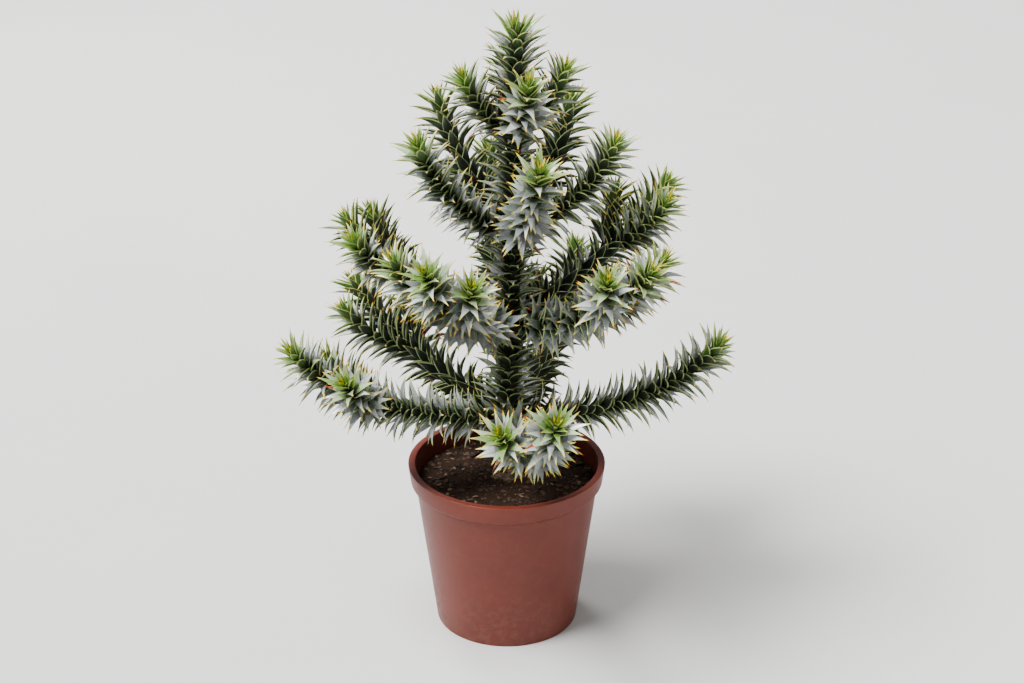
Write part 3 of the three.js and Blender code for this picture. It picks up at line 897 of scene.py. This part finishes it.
def young_bark():
    """Cork that gives way to green stem: matt, wrinkled crosswise, darker in its furrows."""
    material, tree, shader, place = new_material("young_bark_over_green_stem")
    height = add_node(tree, "SeparateXYZ", {"Vector": place}).outputs["Z"]
    above = add_node(tree, "MapRange", {"Value": height, "From Min": CORK_TO, "From Max": GREEN_FROM})
    crosswise = add_node(tree, "Mapping", {"Vector": place, "Scale": (0.3, 0.3, 1.0)}).outputs["Vector"]
    pattern = {"Vector": crosswise, "Scale": per_metre(2.6), "Detail": 6.0, "Roughness": 0.75}
    furrows = add_node(tree, "TexNoise", pattern).outputs["Fac"]
    contrast = add_node(tree, "MapRange", {"Value": furrows, "From Min": 0.36, "From Max": 0.64})
    cork_to_green = {FACTOR: above.outputs["Result"]}
    # the green's two shades: the stem's dark green, darker still as painted shade between the leaves
    for end, furrow, ridge in ((COLOUR_A, "#33281f", "#8a7965"), (COLOUR_B, "#24271c", "#4d523c")):
        shades = {FACTOR: contrast.outputs["Result"], COLOUR_A: linear(furrow), COLOUR_B: linear(ridge)}
        cork_to_green[end] = add_node(tree, "Mix", shades, data_type="RGBA").outputs[MIXED]
    colour = add_node(tree, "Mix", cork_to_green, data_type="RGBA").outputs[MIXED]
    wrinkles = fine_grain(tree, crosswise, 1.1, detail=4.0, strength=0.7, deep=0.6 * MM)
    fill(tree, shader, {"Base Color": colour, "Roughness": 0.86, "Normal": wrinkles})
    return material


stem_bark = young_bark()

# %% [markdown]
# ## Trunk and limbs
# The trunk's tube is fine enough for every cushion and for the lobes of the root flare. The limbs are thinner
# and mostly hidden by leaves, so their tubes have fewer faces. Each limb starts inside the trunk and swells
# where it leaves it, as a branch collar does.

# %% Trunk and limb pieces
TRUNK_SIDES = 96
TRUNK_RING_EVERY = 1.3 * MM
LIMB_SIDES = 22
LIMB_RING_EVERY = 2.4 * MM
LIMB_STRETCH = (0.004, 1.0)  # of its line, from just beyond the middle of the stem that it grows from
END_LEFT = 0.02  # the square of the share of its radius that a limb keeps at its very end
BOUGH_RADIUS = 6 * MM
STEM_RADIUS = 5 * MM
STEM_TIP_RADIUS = 3 * MM
COLLAR_RADIUS = 2.2 * MM
COLLAR_LENGTH = 9 * MM
FORK_THICKNESS = 0.8


def limb_radius(line, thickness, collar):
    """A stem's taper, with a collar at its foot where it leaves the trunk."""

    def radius_at(share, angle):
        distance = share * line["length"]
        bough = mix(BOUGH_RADIUS, STEM_RADIUS, np.minimum(1, distance / (2 * BOUGH_LENGTH)))
        stem = np.minimum(bough, mix(STEM_RADIUS, STEM_TIP_RADIUS, share) + BOUGH_RADIUS - STEM_RADIUS)
        swelling = collar * np.exp(-np.maximum(0, distance - TRUNK_TOP_RADIUS) / COLLAR_LENGTH)
        rounded = np.sqrt(np.clip((1 - share) * line["length"] / STEM_TIP_RADIUS, END_LEFT, 1))
        return (stem + swelling) * thickness * rounded

    return radius_at


def joined_tubes(name, tubes):
    """Joins separate tubes into one piece."""
    take(tubes[0])
    for tube in tubes:
        tube.select_set(True)
    bpy.ops.object.join()
    whole = bpy.context.object
    whole.name = name
    return whole


fineness = (TRUNK_SIDES, TRUNK_RING_EVERY)
leaves = (LOWEST_LEAVES, TRUNK_LEAF_SPACING)
trunk_tube = rolled_tube("trunk_bark", trunk, (0.0, leader_tip), trunk_radius, *fineness, leaves, cork=True)
trunk_tube.data.materials.append(stem_bark)
finish_piece(trunk_tube, ["trunk"], smooth_under=50)

fineness = (LIMB_SIDES, LIMB_RING_EVERY)
for whorl in range(WHORLS):
    group = f"whorl_{whorl + 1}"
    tubes = []
    for shoot in shoots_in(group):
        line = shoot["line"]
        thickness = shoot["thickness"] * (FORK_THICKNESS if shoot["fork"] else 1)
        shoot["radius"] = limb_radius(line, thickness, 0 if shoot["fork"] else COLLAR_RADIUS)
        leaves = (shoot["from"] * line["length"], LEAF_SPACING)
        tubes.append(rolled_tube("limb", line, LIMB_STRETCH, shoot["radius"], *fineness, leaves))
    limb_tubes = joined_tubes(f"limb_bark_{group}", tubes)
    limb_tubes.data.materials.append(stem_bark)
    boughs = [f"bough_{limb['name']}" for limb in limbs if limb["whorl"] == whorl]
    finish_piece(limb_tubes, boughs, smooth_under=50)
shoots[-1]["radius"] = trunk_radius

# %% [markdown]
# ## One leaf
# The leaf is a stiff blade, 36 mm long and 10 mm broad, that narrows to a spine. Its upper side is a little
# hollow and its under side has a keel. A thin pale margin runs round it, which is what draws each leaf's
# outline in the picture. A ring of eight corners is enough for that section: two at the margins, and three
# above and three below. The ring is extruded from the leaf's foot to its spine and resized at each step.

# %% Leaf shape
LEAF_LENGTH = 36 * MM
LEAF_HALF_WIDTH = 5.0 * MM
LEAF_MARGIN = 0.42 * MM
LEAF_HOLLOW = 0.9 * MM
LEAF_THICK = 0.9 * MM
LEAF_KEEL = 0.8 * MM
SECTION_PLACES = (0.0, 0.15, 0.28, 0.42, 0.57, 0.71, 0.84, 0.94)  # shares of the length
SECTION_WIDTHS = (0.66, 0.96, 1.0, 0.87, 0.65, 0.4, 0.2, 0.08)  # shares of the half width
FULL_FORM_AT = 0.5  # of the half width: where the leaf is narrower its hollow and keel are less
MARGIN_MOST = 0.4  # of the leaf's half width there
HOLLOW_BESIDE, HOLLOW_MIDDLE = 0.72, 0.15  # shares of the margins' height, next to them and in the middle
UNDER_BESIDE = 0.3  # share of the thickness that is left beside the keel
LEAST_UP, LEAST_DOWN = 0.12 * MM, 0.1 * MM  # what both faces add everywhere
NEARLY = 0.1  # a corner nearer than this share is taken as in the middle, or on the margin


def make_leaf():
    """Draws a ring of eight corners out from the leaf's foot to its spine."""
    bpy.ops.object.select_all(action="DESELECT")
    bpy.ops.mesh.primitive_circle_add(
        vertices=8, radius=LEAF_HALF_WIDTH, fill_type="NGON", rotation=(math.pi / 2, 0, 0)
    )
    leaf = bpy.context.object
    bpy.ops.object.transform_apply(rotation=True)
    edit(leaf)
    bpy.ops.mesh.select_all(action="SELECT")
    place, width = SECTION_PLACES[0], SECTION_WIDTHS[0]
    bpy.ops.transform.resize(value=(width, 1, width), center_override=(0, 0, 0))
    for next_place, next_width in zip(SECTION_PLACES[1:], SECTION_WIDTHS[1:]):
        ahead = (next_place - place) * LEAF_LENGTH
        bpy.ops.mesh.extrude_region_move(TRANSFORM_OT_translate={"value": (0, ahead, 0)})
        resize = next_width / width
        centre = (0, next_place * LEAF_LENGTH, 0)
        bpy.ops.transform.resize(value=(resize, 1, resize), center_override=centre)
        place, width = next_place, next_width
    bpy.ops.mesh.extrude_region_move(TRANSFORM_OT_translate={"value": (0, (1 - place) * LEAF_LENGTH, 0)})
    bpy.ops.mesh.merge(type="CENTER")
    bpy.ops.mesh.select_all(action="SELECT")
    bpy.ops.mesh.normals_make_consistent(inside=False)
    leave()
    return leaf


def press_leaf(leaf):
    """Presses the round blank flat: a hollow above, a keel below, and thin margins."""
    for vertex in leaf.data.vertices:
        across, _, up = vertex.co
        half = math.hypot(across, up)
        if half < 0.01 * MM:
            vertex.co.z = 0
            continue
        fullness = min(1.0, half / (FULL_FORM_AT * LEAF_HALF_WIDTH))
        margin = min(LEAF_MARGIN, half * MARGIN_MOST)
        side = 0 if abs(across) < half * NEARLY else math.copysign(1, across)
        on_margin = abs(up) < half * NEARLY
        vertex.co.x = side * (half if on_margin else half - margin)
        if on_margin:
            vertex.co.z = LEAF_HOLLOW * fullness
        elif up > 0:
            vertex.co.z = LEAF_HOLLOW * fullness * (HOLLOW_BESIDE if side else HOLLOW_MIDDLE) + LEAST_UP
        else:
            deep = LEAF_THICK * UNDER_BESIDE if side else LEAF_THICK + LEAF_KEEL
            vertex.co.z = -fullness * deep - LEAST_DOWN


# %% [markdown]
# ## Where a leaf has which finish
# Along its inner face a leaf has four finishes, along its outer face two, and its margin, its tip and its
# spine have one each. The two inner finishes nearest the foot are darker: the bloom is thinner there, and the
# dark is also painted shade between the leaves. Nearer still to the foot the inner face has no bloom and
# takes the outer face's dark green, which is painted shade as well. These are the zones, and each face of the
# blank lies in one of them. They end at the sections.

# %% Leaf zones
# the inner face darkens towards its foot: thinner bloom, and painted shade between the leaves
_, FOOT_TO, THIN_SHADE_BLOOM_TO, BLOOM_FROM, _, PALE_FROM, STRAW_FROM, SPINE_FROM = SECTION_PLACES
INNER_FOOT, INNER_LOW, INNER, INNER_TIP, OUTER, OUTER_TIP, MARGIN, STRAW, SPINE = range(9)
INNER_ZONES = ((PALE_FROM, INNER_TIP), (BLOOM_FROM, INNER), (THIN_SHADE_BLOOM_TO, INNER_LOW), (FOOT_TO, INNER_FOOT))


def leaf_zone(corners):
    """Which finish a face of the leaf has, by its corners."""
    place = corners[:, 1].mean() / LEAF_LENGTH
    if place > SPINE_FROM:
        return SPINE
    if place > STRAW_FROM:
        return STRAW
    if min(abs(corners[:, 0])) > 0.1 * MM and len(corners) == 4:
        return MARGIN
    looks_up = np.cross(corners[1] - corners[0], corners[2] - corners[0])[2] > 0
    # nearer the foot than FOOT_TO an inner face has no bloom and takes the outer dark green, also as painted
    # shade
    if looks_up and place > FOOT_TO:
        return next(zone for start, zone in INNER_ZONES if place > start)
    return OUTER_TIP if place > PALE_FROM else OUTER


leaf = make_leaf()
press_leaf(leaf)
leaf_vertices, leaf_faces = blank_of(leaf)
zone_of_face = np.array([leaf_zone(leaf_vertices[list(face)]) for face in leaf_faces])
print("leaf:", len(leaf_faces), "faces; in each zone:", np.bincount(zone_of_face))

# %% [markdown]
# ## Growing the leaves
# Leaves are set along each shoot by the golden angle. At the tip they are short and closed round the bud.
# Behind it they open, until an old leaf stands off its shoot by some sixty degrees and bends back a little.
# Their distance from the tip is all that is needed for age, size and angle.

# %% Leaf rule
BUD_SPACING = 0.45 * MM
CROWDED_WITHIN = 16 * MM  # behind the tip, where the leaves stand closer
OPEN_ANGLE = 63
CLOSED_ANGLE = 12
OPENING_LENGTH = 13 * MM
BUD_LENGTH = 0.36
FULL_GROWN_AT = 15 * MM
BUD_WIDTH = 0.55  # of a grown leaf's width at the same length
BROAD_AT = 26 * MM
LEAF_SUNK = 1.6 * MM
LEAN_SCATTER = 10
TURN_SCATTER = 11
SIZE_SCATTER = 0.11
ARCH = (-0.02, 0.1)  # rise of the middle over the chord, at the tip and far behind it
ARCH_SCATTER = 0.035
ROLL_SCATTER = 9
TWIST_SCATTER = 22


def leaf_places(start, tip, length, spacing):
    """Shares of a line where leaves stand, closer together towards the tip."""
    shares = []
    share = start
    while share < tip:
        shares.append(share)
        crowding = min(1.0, (tip - share) * length / CROWDED_WITHIN)
        share += mix(min(BUD_SPACING, spacing), spacing, crowding) / length
    return np.array(shares)


def grow(line, start, end, tip, radius_at, spacing, seed):
    """The leaves of a stretch of line, as arrays: their foot, their three directions, size, arch and age."""
    shares = leaf_places(start, end, line["length"], spacing)
    numbers = np.random.default_rng(seed)

    def scatter(spread):
        """A number for each leaf, between -spread and spread."""
        return numbers.uniform(-spread, spread, len(shares))

    behind = (tip - shares) * line["length"]
    opened = 1 - np.exp(-behind / OPENING_LENGTH)
    lean = np.radians(mix(CLOSED_ANGLE, OPEN_ANGLE, opened) + scatter(LEAN_SCATTER))[:, None]
    turn = np.arange(len(shares)) * GOLDEN_ANGLE + np.radians(scatter(TURN_SCATTER))
    point, tangent, across, beside = frames_at(line, shares)
    outward = across * np.cos(turn)[:, None] + beside * np.sin(turn)[:, None]
    along = tangent * np.cos(lean) + outward * np.sin(lean)
    upper = tangent * np.sin(lean) - outward * np.cos(lean)
    roll = np.radians(scatter(ROLL_SCATTER))[:, None]
    side = np.cross(along, upper)
    upper = upper * np.cos(roll) + side * np.sin(roll)
    foot = radius_at(shares, turn) - LEAF_SUNK
    return {
        "foot": point + outward * foot[:, None],
        "along": along,
        "upper": upper,
        "size": mix(BUD_LENGTH, 1, np.minimum(1, behind / FULL_GROWN_AT)) * (1 + scatter(SIZE_SCATTER)),
        "width": mix(BUD_WIDTH, 1, np.minimum(1, behind / BROAD_AT)),
        "arch": mix(*ARCH, opened) + scatter(ARCH_SCATTER),
        "twist": np.radians(scatter(TWIST_SCATTER)) * opened,
        "behind": behind,
    }


REACH_GAP = 0.1 * MM
REACH_LOW = np.array(cad_box[0]) + REACH_GAP
REACH_HIGH = np.array(cad_box[1]) - REACH_GAP


def keep_within_reach(leaves):
    """Shortens a leaf whose tip would leave the box of the solids."""
    ahead = leaves["along"] * LEAF_LENGTH * leaves["size"][:, None]
    room = np.where(ahead > 0, REACH_HIGH - leaves["foot"], leaves["foot"] - REACH_LOW)
    leaves["size"] *= np.minimum(1, (room / np.maximum(np.abs(ahead), 0.01 * MM)).min(axis=1))
    return leaves


def placed_leaves(leaves):
    """The blank leaf at every place: an array of leaf, vertex and axis."""
    across = np.cross(leaves["along"], leaves["upper"])
    wide, along, high = leaf_vertices.T
    length = along / LEAF_LENGTH
    twist = leaves["twist"][:, None] * length**2
    bend = 4 * length * (1 - length) * LEAF_LENGTH * leaves["arch"][:, None]
    wide = wide * leaves["width"][:, None]
    sideways = wide * np.cos(twist) - high * np.sin(twist)
    upwards = wide * np.sin(twist) + high * np.cos(twist) + bend
    shape = (
        sideways[..., None] * across[:, None, :]
        + along[None, :, None] * leaves["along"][:, None, :]
        + upwards[..., None] * leaves["upper"][:, None, :]
    )
    return leaves["foot"][:, None, :] + shape * leaves["size"][:, None, None]


# %% [markdown]
# ## Leaves that would be in the way
# Where a side shoot leaves its limb, or a limb its trunk, some leaves would stand through the other stem. On
# the tree they never grew. A tree search over points along all the stems finds them, and they are left out.

# %% Clearing the stems
STEM_GAP = 1.5 * MM
TIP_GAP = 7 * MM
STEM_POINT_EVERY = 3 * MM
LEAF_POINTS = (0.35, 0.6, 0.8, 1.0)


def stem_points():
    """Points along every stem with its radius, and a tree to search them with."""
    rows = []
    for shoot in shoots:
        line = shoot["line"]
        shares = np.arange(0.0, 1.0, STEM_POINT_EVERY / line["length"])
        radii = shoot["radius"](shares, np.zeros_like(shares))
        rows += [(point, radius, shoot["stem"]) for point, radius in zip(frames_at(line, shares)[0], radii)]
    search = KDTree(len(rows))
    for index, (point, _, _) in enumerate(rows):
        search.insert(point, index)
    search.balance()
    return rows, search


stem_rows, stem_search = stem_points()
WIDEST_STEM = max(radius for _, radius, _ in stem_rows)


def is_clear(foot, along, length, own):
    """True if a leaf keeps off every stem but its own."""
    for share in LEAF_POINTS:
        gap = TIP_GAP if share == 1.0 else STEM_GAP
        for _, index, distance in stem_search.find_range(foot + along * length * share, WIDEST_STEM + gap):
            _, radius, stem = stem_rows[index]
            if stem != own and distance < radius + gap:
                return False
    return True


def only_clear(leaves, own):
    """Leaves out the leaves that come too near a stem that isn't their own."""
    kept = [
        is_clear(foot, along, LEAF_LENGTH * size, own)
        for foot, along, size in zip(leaves["foot"], leaves["along"], leaves["size"])
    ]
    return {name: values[kept] for name, values in leaves.items()}


# %% [markdown]
# ## Leaf finishes
# A leaf is leathery under a thick wax cuticle. The outer face, which looks away from the shoot's tip, is deep
# green with a satin shine. The inner face carries a bloom of fine wax, silver-grey with a hint of lilac. Its
# paleness and lilac are partly painted sheen, the clouded sky as the waxy face would mirror it, and its
# paler, greener tip is partly a painted highlight. Towards the leaf's foot the bloom is thinner, and darker
# still with painted shade between the leaves. Margins are pale green, and the tips go through straw to amber
# or brown. Young leaves are yellower, and the bud's are nearly yellow. Each leaf takes one set of plain
# finishes by its age, because a colour that belongs to a certain leaf has to stay on it. Only a faint
# mottling is a pattern.


# %% Leaf materials
def cuticle(name, hex_colour, darker, roughness, wax=0.0):
    """Wax over leathery leaf, IOR 1.5. wax is how much of the clear, smooth kind lies on top."""
    material, tree, shader, place = new_material(name)
    mottled = patches(tree, place, 6, darker, hex_colour, detail=3.0)
    pores = fine_grain(tree, place, 0.8, detail=2.0, strength=0.12, deep=0.1 * MM)
    surface = {"Base Color": mottled, "Roughness": roughness, "IOR": 1.5, "Normal": pores}
    fill(tree, shader, {**surface, "Coat Weight": wax, "Coat Roughness": 0.28})
    return material


LEAF_FINISHES = {
    "deep_green": ("#323a2e", "#262c22", 0.38),
    "dark_green": ("#394433", "#2d3728", 0.38),
    "olive_green": ("#455238", "#38432d", 0.38),
    "middle_green": ("#526940", "#435633", 0.38),
    "fresh_green": ("#5e803e", "#4d6c32", 0.38),
    "bud_green": ("#74963e", "#628334", 0.4),
    # foot and thin: bloom thinner towards the foot, darker as painted shade; thin is also the old leaves' tip
    "foot_bloom": ("#727c6f", "#5c665a", 0.4, 0.5),
    "thin_bloom": ("#9b9fa0", "#818586", 0.36, 0.8),
    # dull: little bloom, and darker as painted shade, on leaves dealt at random
    "dull_bloom": ("#85898b", "#6c7072", 0.34, 1.0),
    "old_bloom": ("#abaab1", "#8e8d93", 0.34, 1.0),
    # silver and sage: wax bloom made paler and lilac with painted sheen; sage's greener tip is also a painted
    # highlight
    "silver_bloom": ("#d0d0d3", "#b4b4b8", 0.34, 1.0),
    "sage_bloom": ("#d1d9cb", "#b6bfaf", 0.34, 1.0),
    "green_bloom": ("#b4c4a7", "#98a88a", 0.36, 0.8),
    "young_bloom": ("#8ea872", "#748f59", 0.38, 0.5),
    "bud_bloom": ("#739444", "#5d7c36", 0.4),
    "green_edge": ("#98a572", "#839161", 0.4),
    "yellow_edge": ("#b4bc76", "#a0a966", 0.42),
    "straw": ("#dcc660", "#c8b24c", 0.42),
    "yellow_bud": ("#e3c83a", "#cfb42e", 0.4),
    "amber": ("#e6ae2c", "#d59722", 0.4),
    "orange": ("#cf7a32", "#b2622a", 0.4),
    "brown": ("#9c5538", "#7d4029", 0.42),
    "scorched": ("#a84a30", "#873724", 0.6),
}
materials = [cuticle(f"{name}_leaf_wax", *finish) for name, finish in LEAF_FINISHES.items()]
number_of = {name: i for i, name in enumerate(LEAF_FINISHES)}

# the finish of each zone of a leaf, from INNER_FOOT to SPINE, for each kind of leaf, the youngest first
LEAF_KINDS = (
    "bud_bloom bud_bloom yellow_bud amber bud_green yellow_bud yellow_bud amber amber",
    "bud_bloom bud_bloom bud_bloom yellow_bud bud_green bud_green yellow_edge amber amber",
    "bud_bloom bud_bloom bud_bloom young_bloom fresh_green bud_green yellow_edge yellow_bud orange",
    "bud_bloom bud_bloom young_bloom young_bloom fresh_green fresh_green yellow_edge straw orange",
    "foot_bloom young_bloom green_bloom green_bloom middle_green fresh_green yellow_edge straw orange",
    "foot_bloom thin_bloom silver_bloom sage_bloom olive_green middle_green green_edge straw orange",
    "foot_bloom thin_bloom silver_bloom sage_bloom dark_green olive_green green_edge straw orange",
    "foot_bloom thin_bloom old_bloom thin_bloom deep_green dark_green green_edge yellow_edge brown",
    "foot_bloom foot_bloom dull_bloom thin_bloom dark_green olive_green green_edge straw orange",
    "foot_bloom thin_bloom green_bloom scorched dark_green scorched green_edge scorched scorched",
)
SCORCHED_KIND = len(LEAF_KINDS) - 1
# a kind dealt at random to grown leaves: little bloom, and darker as painted shade
DULL_SHADE_KIND = SCORCHED_KIND - 1  # grown leaves with little bloom
KIND_UNTIL = np.array([2, 5, 9, 16, 28, 50, 100]) * MM  # distance behind the tip where the next kind begins
KIND_SCATTER = 0.25
DULL_SHADE_CHANCE, DULL_SHADE_FROM = 0.3, KIND_UNTIL[4]  # none are nearer the tip than that
SCORCHED_CHANCE, SCORCHED_FROM = 0.012, KIND_UNTIL[1]
finish_of_kind = np.array([[number_of[name] for name in kind.split()] for kind in LEAF_KINDS])
print("leaf finishes:", len(materials))


def kinds_by_age(behind, seed):
    """Deals out the kinds of leaf by distance behind the tip, with scatter, and dull, darker ones as painted
    shade, and scorched ones.
    """
    numbers = np.random.default_rng(seed)
    scattered = behind * np.exp(numbers.normal(0, KIND_SCATTER, len(behind)))
    kinds = np.searchsorted(KIND_UNTIL, scattered)
    dull_shade = (numbers.uniform(0, 1, len(behind)) < DULL_SHADE_CHANCE) & (behind > DULL_SHADE_FROM)
    kinds = np.where(dull_shade, DULL_SHADE_KIND, kinds)
    scorched = (numbers.uniform(0, 1, len(behind)) < SCORCHED_CHANCE) & (behind > SCORCHED_FROM)
    return np.where(scorched, SCORCHED_KIND, kinds)


# %% [markdown]
# ## The leaves, joined
# The leaves of one whorl become one mesh, and so do the leader's and the trunk's own. Each mesh stands for
# the solids that held its place.


# %% Leaf pieces
def joined_leaves(name, sets, seed):
    """One mesh from several sets of leaves."""
    placed = np.concatenate([placed_leaves(leaves) for leaves in sets])
    behind = np.concatenate([leaves["behind"] for leaves in sets])
    kinds = kinds_by_age(behind, seed)
    return joined_copies(name, placed, leaf_faces, materials, finish_of_kind[kinds][:, zone_of_face])


SHOOT_SEED, WHORL_SEED = 400, 60
leaf_count = 0
for order in range(WHORLS + 1):
    group = f"whorl_{order + 1}" if order < WHORLS else "leader"
    sets = []
    for shoot in shoots_in(group):
        line, tip, radius_at = shoot["line"], shoot["tip"], shoot["radius"]
        grown = grow(line, shoot["from"], tip, tip, radius_at, LEAF_SPACING, SHOOT_SEED + shoot["number"])
        sets.append(only_clear(keep_within_reach(grown), shoot["stem"]))
    piece = joined_leaves(f"leaves_{group}", sets, WHORL_SEED + order)
    names = [limb["name"] for limb in limbs if limb["whorl"] == order] or ["leader"]
    finish_piece(piece, [f"foliage_{name}" for name in names], smooth_under=38)
    leaf_count += sum(len(leaves["size"]) for leaves in sets)

# %% Trunk leaves
TRUNK_SHOOT_SEED, TRUNK_KIND_SEED = 900, 70
start = LOWEST_LEAVES / trunk["length"]
grown = grow(trunk, start, trunk_top, 1.0, trunk_radius, TRUNK_LEAF_SPACING, TRUNK_SHOOT_SEED)
trunk_set = only_clear(grown, ON_TRUNK)
piece = joined_leaves("leaves_trunk", [trunk_set], TRUNK_KIND_SEED)
finish_piece(piece, [f"trunk_leaves_{whorl + 1}" for whorl in range(WHORLS)], smooth_under=38)
leaf_count += len(trunk_set["size"])
print("leaves:", leaf_count)
